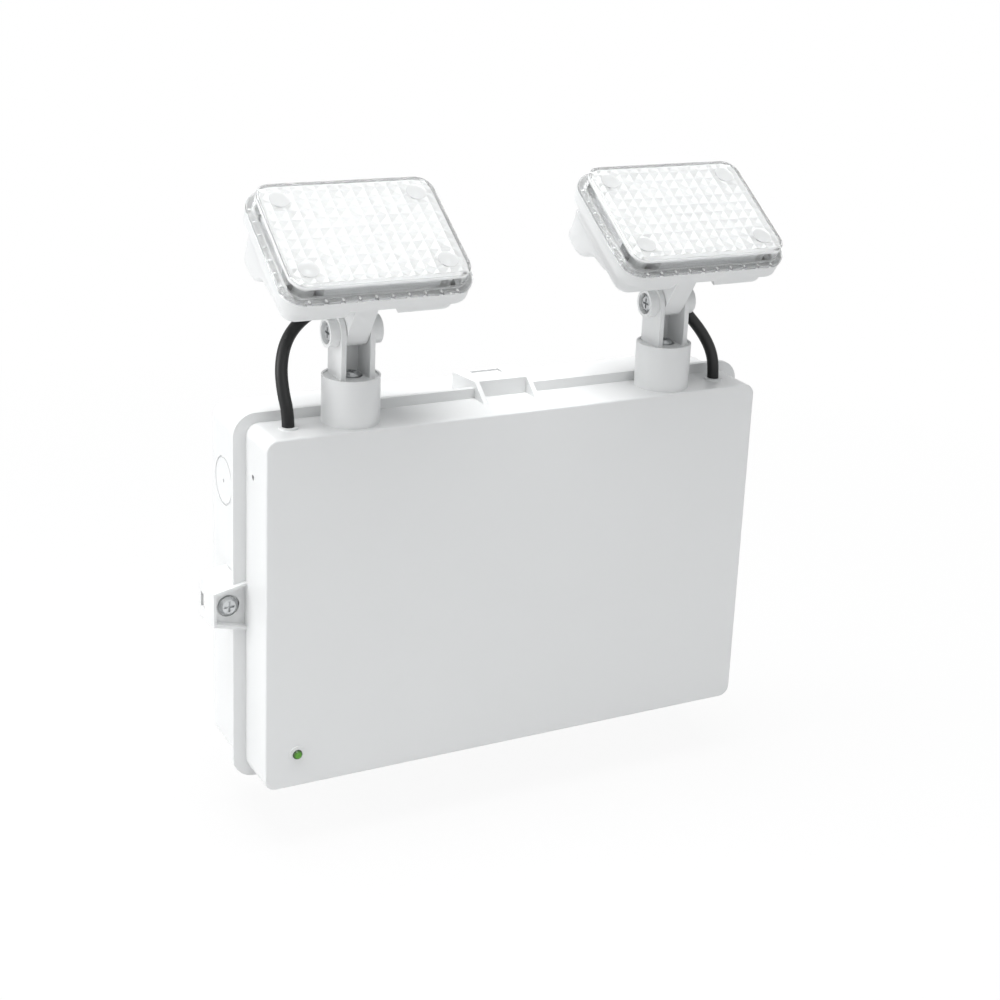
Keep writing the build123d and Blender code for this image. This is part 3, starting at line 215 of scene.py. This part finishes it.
def clear_polycarbonate():
    """Injection-moulded clear polycarbonate: colourless and polished, painted milky white at prisms, nibs and
    posts to stand in for the light they scatter.
    """
    material, tree, surface = shader(
        "moulded_clear_polycarbonate",
        {"Base Color": linear("#FAFBFB"), "Roughness": 0.04, "IOR": 1.58},
    )
    grain(tree, surface, 6.0, 0.05, 0.05)
    place = node(tree, "ShaderNodeTexCoord")
    height = node(
        tree, "ShaderNodeVectorMath", {"operation": "DOT_PRODUCT", 1: LENS_OUT}, {0: place.outputs["Object"]},
    )
    depth = node(
        tree, "ShaderNodeMath", {"operation": "SUBTRACT", 0: LENS_CENTRE.dot(LENS_OUT)},
        {1: height.outputs["Value"]},
    )
    # From the face inward: clear skin, prisms painted milky to stand in for the light they scatter, then clear
    # side walls
    front = node(
        tree, "ShaderNodeMapRange",
        {
            "From Min": SKIN_END * MM, "From Max": PRISM_START * MM,
            "To Min": FACE_CLARITY, "To Max": PRISM_CLARITY,
        },
        {"Value": depth.outputs["Value"]},
    )
    walls = node(
        tree, "ShaderNodeMapRange",
        {"From Min": PRISM_FLOOR * MM, "From Max": (PRISM_FLOOR + WALL_BLEND) * MM},
        {"Value": depth.outputs["Value"]},
    )
    # Below the walls: nibs painted as milky as the prisms, then the lip that they stand on, painted slightly
    # milky; both stand in for light that the plastic scatters
    centimetres = node(
        tree, "ShaderNodeMath", {"operation": "DIVIDE", 1: 10 * MM}, {0: depth.outputs["Value"]},
    )
    lip = node(tree, "ShaderNodeValToRGB", links={"Fac": centimetres.outputs["Value"]})
    lip.color_ramp.interpolation = "CONSTANT"
    nib_top = LENS_DEPTH - NIB_HEIGHT - 0.05
    lip_front = LENS_DEPTH - 0.03
    for stop, clarity in ((0.0, 1.0), (nib_top, 0.0), (lip_front, LIP_CLARITY)):
        mark = lip.color_ramp.elements.new(stop / 10)
        mark.color = (clarity, clarity, clarity, 1)
    for extra in (0, -1):
        lip.color_ramp.elements.remove(lip.color_ramp.elements[extra])
    bare = node(
        tree, "ShaderNodeMath", {"operation": "MULTIPLY"},
        {0: walls.outputs["Result"], 1: lip.outputs["Color"]},
    )
    clear = node(
        tree, "ShaderNodeMath", {"operation": "MAXIMUM"},
        {0: front.outputs["Result"], 1: bare.outputs["Value"]},
    )
    # The four posts, found by their distance across the lens from the post centres, are painted milky: painted
    # light standing in for light that passes into them through the clear face
    parts = node(tree, "ShaderNodeSeparateXYZ", links={"Vector": place.outputs["Object"]})
    rise = node(
        tree, "ShaderNodeVectorMath", {"operation": "DOT_PRODUCT", 1: LENS_UP}, {0: place.outputs["Object"]},
    )
    from_middle = node(tree, "ShaderNodeMath", {"operation": "ABSOLUTE"}, {0: parts.outputs["X"]})
    offsets = []
    for source, middle, half in (
        (from_middle, HEAD_X * MM, POST_PLACE[0] * MM),
        (rise, LENS_CENTRE.dot(LENS_UP), POST_PLACE[1] * MM),
    ):
        off_middle = node(
            tree, "ShaderNodeMath", {"operation": "SUBTRACT", 1: middle}, {0: source.outputs["Value"]},
        )
        folded = node(tree, "ShaderNodeMath", {"operation": "ABSOLUTE"}, {0: off_middle.outputs["Value"]})
        offset = node(
            tree, "ShaderNodeMath", {"operation": "SUBTRACT", 1: half}, {0: folded.outputs["Value"]},
        )
        offsets.append(offset.outputs["Value"])
    reach = node(tree, "ShaderNodeCombineXYZ", links={"X": offsets[0], "Y": offsets[1]})
    away = node(tree, "ShaderNodeVectorMath", {"operation": "LENGTH"}, {0: reach.outputs["Vector"]})
    post_painted_light = node(
        tree, "ShaderNodeMapRange",
        {
            "From Min": POST_ZONE * MM, "From Max": (POST_ZONE + POST_BLEND) * MM,
            "To Min": POST_CLARITY,
        },
        {"Value": away.outputs["Value"]},
    )
    clear = node(
        tree, "ShaderNodeMath", {"operation": "MINIMUM"},
        {0: clear.outputs["Value"], 1: post_painted_light.outputs["Result"]},
    )
    tree.links.new(clear.outputs["Value"], surface.inputs["Transmission Weight"])
    return material


def metallised_reflector():
    """Vacuum-metallised ABS reflector: pale silver grey with a slightly diffuse shine."""
    material, tree, surface = shader(
        "metallised_abs_reflector", {"Base Color": linear("#E9EAEB"), "Roughness": 0.3, "Metallic": 0.35},
    )
    grain(tree, surface, 1.5, 0.02, 0.1)
    return material


def black_pvc():
    """Extruded black PVC sheath: dark, smooth, with a soft sheen and a fine grain."""
    material, tree, surface = shader(
        "extruded_black_pvc", {"Base Color": linear("#0D0E0F"), "Roughness": 0.42, "IOR": 1.42},
    )
    grain(tree, surface, 0.8, 0.03, 0.15)
    return material


def black_rubber():
    """Moulded black rubber seal: dull with a fine texture."""
    material, tree, surface = shader(
        "moulded_black_rubber", {"Base Color": linear("#1C1C1D"), "Roughness": 0.75},
    )
    grain(tree, surface, 0.4, 0.02, 0.2)
    return material


def zinc_steel():
    """Zinc-plated steel fastener: pale bluish metal with a finely mottled plating."""
    material, tree, surface = shader(
        "zinc_plated_steel", {"Base Color": linear("#C9CBCC"), "Metallic": 1.0},
    )
    vary_roughness(tree, surface, grain(tree, surface, 0.5, 0.02, 0.15), 0.24, 0.42)
    return material


def green_lamp():
    """Green-tinted epoxy lamp body: glossy, lit faintly from inside, with painted shade darkening it towards
    its edge.
    """
    material, tree, surface = shader(
        "green_epoxy_lamp", {"Roughness": 0.12, "IOR": 1.5, "Emission Strength": 0.12},
    )
    grain(tree, surface, 1.0, 0.01, 0.05)
    place = node(tree, "ShaderNodeTexCoord")
    offset = node(
        tree, "ShaderNodeVectorMath", {"operation": "SUBTRACT", 1: Vector(CHARGE_LAMP_PLACE) * MM},
        {0: place.outputs["Object"]},
    )
    across = node(
        tree, "ShaderNodeVectorMath", {"operation": "MULTIPLY", 1: (1, 0, 1)}, {0: offset.outputs["Vector"]},
    )
    away = node(tree, "ShaderNodeVectorMath", {"operation": "LENGTH"}, {0: across.outputs["Vector"]})
    # Painted shade: the lamp's colour darkens from its core to its rim
    edge = node(
        tree, "ShaderNodeMapRange", {"From Min": LAMP_CORE * MM, "From Max": LAMP_EDGE * MM},
        {"Value": away.outputs["Value"]},
    )
    shaded_lamp_colour = node(tree, "ShaderNodeValToRGB", links={"Fac": edge.outputs["Result"]})
    for element, code in zip(shaded_lamp_colour.color_ramp.elements, ("#4A8A1E", "#1B3610")):
        element.color = linear(code)
    for socket in ("Base Color", "Emission Color"):
        tree.links.new(shaded_lamp_colour.outputs["Color"], surface.inputs[socket])
    return material


def plain_plastic(name, code, roughness, size_mm):
    """Plain moulded or coated material of the seals and inner parts, with a light texture."""
    material, tree, surface = shader(name, {"Base Color": linear(code), "Roughness": roughness})
    grain(tree, surface, size_mm, 0.02, 0.15)
    return material


def plain_metal(name, code, roughness, size_mm):
    """Bare or plated metal of the inner parts, with a fine grain."""
    material, tree, surface = shader(
        name, {"Base Color": linear(code), "Roughness": roughness, "Metallic": 1.0},
    )
    grain(tree, surface, size_mm, 0.02, 0.15)
    return material


FINISHES = {
    "white_abs": white_abs(),
    "white_bush": white_abs(),
    "clear_plastic": clear_polycarbonate(),
    "grey_plastic": metallised_reflector(),
    "black_pvc": black_pvc(),
    "black_rubber": black_rubber(),
    "zinc_steel": zinc_steel(),
    "green_led": green_lamp(),
    "black_abs": plain_plastic("moulded_black_abs", "#202123", 0.5, 0.6),
    "green_plastic": plain_plastic("moulded_green_polyamide", "#1F7A3A", 0.45, 0.6),
    "grey_silicone": plain_plastic("moulded_grey_silicone", "#A6A8A9", 0.6, 0.4),
    "board": plain_plastic("solder_masked_laminate", "#1B5A34", 0.4, 1.0),
    "white_board": plain_plastic("white_masked_laminate", "#ECEDEC", 0.4, 1.0),
    "led_yellow": plain_plastic("phosphor_silicone", "#EBE6CC", 0.5, 0.3),
    "steel_core": plain_metal("varnished_core_steel", "#4A4A4C", 0.5, 0.5),
    "brass_tab": plain_metal("tinned_brass", "#C9B98A", 0.35, 0.4),
    "aluminium": plain_metal("extruded_aluminium", "#BFC1C2", 0.35, 0.4),
}

# Every CAD node takes the finish of its slot in the record
for part in frame["record"]["subparts"]:
    mesh = frame["nodes"][part["node"]].data
    mesh.materials.clear()
    mesh.materials.append(FINISHES[part["material_slot"]])


def smooth_line(route):
    """Points along a smooth line through a route in millimetres, read from its NURBS spline."""
    line = bpy.data.curves.new("smooth_line", "CURVE")
    line.dimensions = "3D"
    line.resolution_u = 10
    spline = line.splines.new("NURBS")
    spline.points.add(len(route) - 1)
    for point, place in zip(spline.points, route):
        point.co = (*[v * MM for v in place], 1)
    spline.order_u = 3
    spline.use_endpoint_u = True
    holder = add_object("smooth_line", line)
    bpy.context.view_layer.update()
    mesh = bpy.data.meshes.new_from_object(holder)
    points = [v.co.copy() for v in mesh.vertices]
    bpy.data.objects.remove(holder)
    bpy.data.meshes.remove(mesh)
    return points


def lead_tube(name, points, radius, sides=24):
    """Closed round tube along the points."""
    forward = (points[1] - points[0]).normalized()
    across = forward.orthogonal().normalized()
    vertices = []
    for i, place in enumerate(points):
        ahead = points[min(i + 1, len(points) - 1)] - points[max(i - 1, 0)]
        ahead.normalize()
        across = (across - ahead * across.dot(ahead)).normalized()
        other = ahead.cross(across)
        for k in range(sides):
            turn = 2 * math.pi * k / sides
            vertices.append(place + radius * (math.cos(turn) * across + math.sin(turn) * other))
    faces = []
    for i in range(len(points) - 1):
        for k in range(sides):
            a = i * sides + k
            b = i * sides + (k + 1) % sides
            faces.append((a, b, b + sides, a + sides))
    faces.append(tuple(reversed(range(sides))))
    faces.append(tuple(range(len(vertices) - sides, len(vertices))))
    mesh = bpy.data.meshes.new(name)
    mesh.from_pydata(vertices, [], faces)
    mesh.polygons.foreach_set("use_smooth", [True] * len(mesh.polygons))
    # The round side shades smoothly and the flat ends stay crisp
    mesh.set_sharp_from_angle(angle=math.radians(60))
    mesh.materials.append(FINISHES["black_pvc"])
    return add_object(name, mesh)


def add_lead(side, route):
    """One lead in two lengths that meet just below the pivot."""
    points = smooth_line(route)
    middle = min(range(len(points)), key=lambda i: abs(points[i].z - LEAD_MEETING_Z))
    lower = lead_tube(side + "_lead_lower", points[:middle + 1], LEAD_RADIUS * MM)
    upper = lead_tube(side + "_lead_upper", points[middle:], LEAD_RADIUS * MM)
    for piece in (lower, upper):
        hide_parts(side + "_lead")
    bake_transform(lower)
    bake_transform(upper)


add_lead("left", LEFT_ROUTE)
add_lead("right", RIGHT_ROUTE)


def nib_tree():
    """Rows of small rounded nibs along a lens lip: two long rows and two short ones."""
    tree = bpy.data.node_groups.new("lip_nibs", "GeometryNodeTree")
    tree.interface.new_socket("Geometry", in_out="OUTPUT", socket_type="NodeSocketGeometry")
    for name, value in NIB_SIZES.items():
        kind = "NodeSocketInt" if isinstance(value, int) else "NodeSocketFloat"
        tree.interface.new_socket(name, in_out="INPUT", socket_type=kind)
    size = node(tree, "NodeGroupInput").outputs
    # One nib: a line whose round section swells from nothing and back, then flattened
    start = node(tree, "ShaderNodeMath", {"operation": "MULTIPLY", 1: -0.5}, {0: size["Nib Length"]})
    end = node(tree, "ShaderNodeMath", {"operation": "MULTIPLY", 1: 0.5}, {0: size["Nib Length"]})
    first = node(tree, "ShaderNodeCombineXYZ", links={"Y": start.outputs[0]})
    last = node(tree, "ShaderNodeCombineXYZ", links={"Y": end.outputs[0]})
    line = node(
        tree, "GeometryNodeCurvePrimitiveLine",
        links={"Start": first.outputs["Vector"], "End": last.outputs["Vector"]},
    )
    points = node(tree, "GeometryNodeResampleCurve", {"Count": 9}, {"Curve": line.outputs["Curve"]})
    along = node(tree, "GeometryNodeSplineParameter")
    centred = node(
        tree, "ShaderNodeMath", {"operation": "MULTIPLY_ADD", 1: 2.0, 2: -1.0}, {0: along.outputs["Factor"]},
    )
    square = node(tree, "ShaderNodeMath", {"operation": "POWER", 1: 2.0}, {0: centred.outputs[0]})
    # A little over 1, so that each end is a small cap and not a point
    rest = node(tree, "ShaderNodeMath", {"operation": "SUBTRACT", 0: 1.02}, {1: square.outputs[0]})
    swell = node(tree, "ShaderNodeMath", {"operation": "SQRT"}, {0: rest.outputs[0]})
    swollen = node(
        tree, "GeometryNodeSetCurveRadius",
        links={"Curve": points.outputs["Curve"], "Radius": swell.outputs[0]},
    )
    half_width = node(tree, "ShaderNodeMath", {"operation": "MULTIPLY", 1: 0.5}, {0: size["Nib Width"]})
    section = node(
        tree, "GeometryNodeCurvePrimitiveCircle", {"Resolution": 12}, {"Radius": half_width.outputs[0]},
    )
    solid = node(
        tree, "GeometryNodeCurveToMesh", {"Fill Caps": True},
        {
            "Curve": swollen.outputs["Curve"], "Profile Curve": section.outputs["Curve"],
            "Scale": swell.outputs[0],
        },
    )
    flat = node(
        tree, "ShaderNodeMath", {"operation": "DIVIDE"}, {0: size["Nib Height"], 1: half_width.outputs[0]},
    )
    scale = node(tree, "ShaderNodeCombineXYZ", {"X": 1.0, "Y": 1.0}, {"Z": flat.outputs[0]})
    nib = node(
        tree, "GeometryNodeTransform",
        links={"Geometry": solid.outputs["Mesh"], "Scale": scale.outputs["Vector"]},
    )
    # A grid two points deep is a pair of rows, one on each side of the lens
    rows = []
    for count, across, turn in (
        ("Long Count", "Lip Height", 0.0), ("Short Count", "Lip Width", math.pi / 2),
    ):
        gaps = node(tree, "ShaderNodeMath", {"operation": "SUBTRACT", 1: 1.0}, {0: size[count]})
        length = node(
            tree, "ShaderNodeMath", {"operation": "MULTIPLY"}, {0: gaps.outputs[0], 1: size["Pitch"]},
        )
        grid = node(
            tree, "GeometryNodeMeshGrid", {"Vertices Y": 2},
            {"Size X": length.outputs[0], "Size Y": size[across], "Vertices X": size[count]},
        )
        turned = node(
            tree, "GeometryNodeTransform", {"Rotation": (0, 0, turn)}, {"Geometry": grid.outputs["Mesh"]},
        )
        placed = node(
            tree, "GeometryNodeInstanceOnPoints", {"Rotation": (0, 0, turn)},
            {"Points": turned.outputs["Geometry"], "Instance": nib.outputs["Geometry"]},
        )
        rows.append(placed.outputs["Instances"])
    joined = node(tree, "GeometryNodeJoinGeometry")
    for row in rows:
        tree.links.new(row, joined.inputs["Geometry"])
    real = node(tree, "GeometryNodeRealizeInstances", links={"Geometry": joined.outputs["Geometry"]})
    smooth = node(tree, "GeometryNodeSetShadeSmooth", links={"Geometry": real.outputs["Geometry"]})
    painted = node(
        tree, "GeometryNodeSetMaterial", {"Material": FINISHES["clear_plastic"]},
        {"Geometry": smooth.outputs["Geometry"]},
    )
    node(tree, "NodeGroupOutput", links={"Geometry": painted.outputs["Geometry"]})
    return tree


def lens_frame(side_x, back):
    """Turn and place from flat drawing to a head: x across, y up the lens, z out of its face."""
    place = LENS_CENTRE + Vector((side_x, 0, 0)) * MM - LENS_OUT * back * MM
    turn = Matrix((Vector((1, 0, 0)), LENS_UP, LENS_OUT)).transposed()
    return Matrix.Translation(place) @ turn.to_4x4()


def finished_mesh(holder):
    """A new mesh of an object with its modifiers applied."""
    seen = holder.evaluated_get(bpy.context.evaluated_depsgraph_get())
    return bpy.data.meshes.new_from_object(seen)


def add_nibs(side, side_x, tree):
    """The nibs of one lens, on the front of its lip."""
    holder = add_object(side + "_nib_holder", bpy.data.meshes.new("nib_holder"))
    modifier = holder.modifiers.new("nibs", "NODES")
    modifier.node_group = tree
    for item in tree.interface.items_tree:
        if item.in_out == "INPUT":
            modifier[item.identifier] = NIB_SIZES[item.name]
    mesh = finished_mesh(holder)
    bpy.data.objects.remove(holder)
    mesh.transform(lens_frame(side_x, LENS_DEPTH))
    piece = add_object(side + "_lip_nibs", mesh)
    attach(piece, side + "_head_body")


nibs = nib_tree()
add_nibs("left", -HEAD_X, nibs)
add_nibs("right", HEAD_X, nibs)


def bulge_mesh(hand):
    """One outer end of the hump behind a head, from inside the shell's own hump to its rounded end."""
    profile = smooth_line([(0, *point) for point in BULGE_PROFILE])
    inner, outer = BULGE_REACH
    stations = [(inner, BULGE_FLARE), (outer - BULGE_EDGE, 1.0)]
    for i in range(1, BULGE_EDGE_STEPS + 1):
        turn = math.pi / 2 * i / BULGE_EDGE_STEPS
        across = outer - BULGE_EDGE * (1 - math.sin(turn))
        stations.append((across, 1 - BULGE_EDGE / BULGE_HALF_SIZE * (1 - math.cos(turn))))
    middle = Vector((0, *BULGE_MIDDLE)) * MM
    vertices = []
    for across, share in stations:
        for point in profile:
            place = middle + (point - middle) * share
            vertices.append((hand * across * MM, place.y, min(place.z, BULGE_FRONT * MM)))
    count = len(profile)
    faces = []
    for i in range(len(stations) - 1):
        for k in range(count):
            a = i * count + k
            b = i * count + (k + 1) % count
            faces.append((a, b, b + count, a + count)[::hand])
    faces.append(tuple(range(count))[::-hand])
    faces.append(tuple(range(len(vertices) - count, len(vertices)))[::hand])
    mesh = bpy.data.meshes.new("bulge")
    mesh.from_pydata(vertices, [], faces)
    return mesh


def well_cutter(hand):
    """Round cutter for the well over one of the upper lens screws."""
    place = Vector((hand * POST_PLACE[0], POST_PLACE[1], SCREW_WELL_MIDDLE)) * MM
    well = bmesh.new()
    bmesh.ops.create_cone(
        well, cap_ends=True, segments=32, depth=SCREW_WELL_LENGTH * MM,
        radius1=SCREW_WELL_RADIUS * MM, radius2=SCREW_WELL_RADIUS * MM, matrix=Matrix.Translation(place),
    )
    mesh = bpy.data.meshes.new("well")
    well.to_mesh(mesh)
    well.free()
    return add_object("well", mesh)


def add_bulges(side, side_x):
    """Both ends of the hump behind one head, each with a well for its lens screw."""
    for hand in (-1, 1):
        holder = add_object("bulge_holder", bulge_mesh(hand))
        cutter = well_cutter(hand)
        cut = holder.modifiers.new("well", "BOOLEAN")
        cut.operation = "DIFFERENCE"
        cut.solver = "EXACT"
        cut.object = cutter
        bpy.context.view_layer.update()
        mesh = finished_mesh(holder)
        bpy.data.objects.remove(holder)
        bpy.data.objects.remove(cutter)
        mesh.transform(lens_frame(side_x, 0))
        mesh.set_sharp_from_angle(angle=math.radians(35))
        mesh.polygons.foreach_set("use_smooth", [True] * len(mesh.polygons))
        mesh.materials.clear()
        mesh.materials.append(FINISHES["white_abs"])
        end = "outer" if hand * side_x > 0 else "inner"
        piece = add_object(side + "_bulge_" + end, mesh)
        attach(piece, side + "_head_body")


add_bulges("left", -HEAD_X)
add_bulges("right", HEAD_X)


def add_camera():
    """Camera at the photograph's place, with its picture centre moved as the photograph's is."""
    azimuth = math.radians(CAMERA_AZIMUTH)
    elevation = math.radians(CAMERA_ELEVATION)
    roll = math.radians(CAMERA_ROLL)
    back = Vector((
        math.sin(azimuth) * math.cos(elevation),
        -math.cos(azimuth) * math.cos(elevation),
        math.sin(elevation),
    ))
    level = Vector((0, 0, 1)).cross(back).normalized()
    above = back.cross(level)
    right = level * math.cos(roll) + above * math.sin(roll)
    up = above * math.cos(roll) - level * math.sin(roll)
    data = bpy.data.cameras.new("camera")
    data.sensor_fit = "HORIZONTAL"
    data.sensor_width = 36
    data.lens = CAMERA_LENS_MM
    data.shift_y = CAMERA_SHIFT_Y
    data.clip_start = 0.05
    data.clip_end = 50
    camera = add_object("camera", data)
    turn = Matrix((right, up, back)).transposed()
    camera.matrix_world = Matrix.Translation(CAMERA_PLACE) @ turn.to_4x4()
    bpy.context.scene.camera = camera


def add_world():
    """Soft even white surroundings, pure white where the camera, glass and metal see them."""
    world = bpy.data.worlds.new("surroundings")
    bpy.context.scene.world = world
    world.use_nodes = True
    tree = world.node_tree
    tree.nodes.clear()
    path = node(tree, "ShaderNodeLightPath")
    direct = node(
        tree, "ShaderNodeMath", {"operation": "MAXIMUM"},
        {0: path.outputs["Is Camera Ray"], 1: path.outputs["Is Transmission Ray"]},
    )
    seen = node(
        tree, "ShaderNodeMath", {"operation": "MAXIMUM"},
        {0: direct.outputs["Value"], 1: path.outputs["Is Glossy Ray"]},
    )
    light = node(tree, "ShaderNodeBackground", {"Color": linear("#F2F4F6"), "Strength": 0.44})
    shown = node(tree, "ShaderNodeBackground", {"Color": (1, 1, 1, 1), "Strength": 1.0})
    mix = node(
        tree, "ShaderNodeMixShader",
        links={0: seen.outputs["Value"], 1: light.outputs["Background"], 2: shown.outputs["Background"]},
    )
    node(tree, "ShaderNodeOutputWorld", links={"Surface": mix.outputs["Shader"]})


def add_floor():
    """Plain white floor well below the light, white to the camera."""
    half_size = 4.0
    mesh = bpy.data.meshes.new("floor")
    signs = ((-1, -1), (1, -1), (1, 1), (-1, 1))
    mesh.from_pydata([(x * half_size, y * half_size, FLOOR_Z) for x, y in signs], [], [(0, 1, 2, 3)])
    floor = add_object("floor", mesh)
    material = bpy.data.materials.new("white_paper")
    material.use_nodes = True
    tree = material.node_tree
    tree.nodes.clear()
    path = node(tree, "ShaderNodeLightPath")
    place = node(tree, "ShaderNodeTexCoord")
    far = node(tree, "ShaderNodeVectorMath", {"operation": "LENGTH"}, {0: place.outputs["Object"]})
    # Near the light a little of the lit paper is left, so that a faint contact shadow shows
    white_share = node(
        tree, "ShaderNodeMapRange", {"From Min": 0.25, "From Max": 0.8, "To Min": 0.92, "To Max": 1.0},
        {"Value": far.outputs["Value"]},
    )
    seen = node(
        tree, "ShaderNodeMath", {"operation": "MULTIPLY"},
        {0: path.outputs["Is Camera Ray"], 1: white_share.outputs["Result"]},
    )
    paper = node(tree, "ShaderNodeBsdfDiffuse", {"Color": linear("#DCDCDC")})
    white = node(tree, "ShaderNodeEmission", {"Color": (1, 1, 1, 1), "Strength": 1.0})
    mix = node(
        tree, "ShaderNodeMixShader",
        links={0: seen.outputs["Value"], 1: paper.outputs["BSDF"], 2: white.outputs["Emission"]},
    )
    node(tree, "ShaderNodeOutputMaterial", links={"Surface": mix.outputs["Shader"]})
    mesh.materials.append(material)


def add_soft_box(name, place, size, power):
    """Square soft box aimed at the middle of the part."""
    data = bpy.data.lights.new(name, "AREA")
    data.size = size
    data.energy = power
    lamp = add_object(name, data)
    aim = Vector(place) - Vector(LIGHT_TARGET)
    lamp.matrix_world = Matrix.Translation(place) @ aim.to_track_quat("Z", "Y").to_matrix().to_4x4()


add_camera()
add_world()
add_floor()
add_soft_box("top_soft_box", (-0.2, -0.1, 1.3), size=1.0, power=22)
add_soft_box("left_soft_box", (-1.3, 0.15, 0.45), size=0.8, power=9)
add_soft_box("front_fill", (0.3, -1.5, 0.9), size=1.2, power=4)

bpy.context.scene.view_settings.view_transform = "Standard"
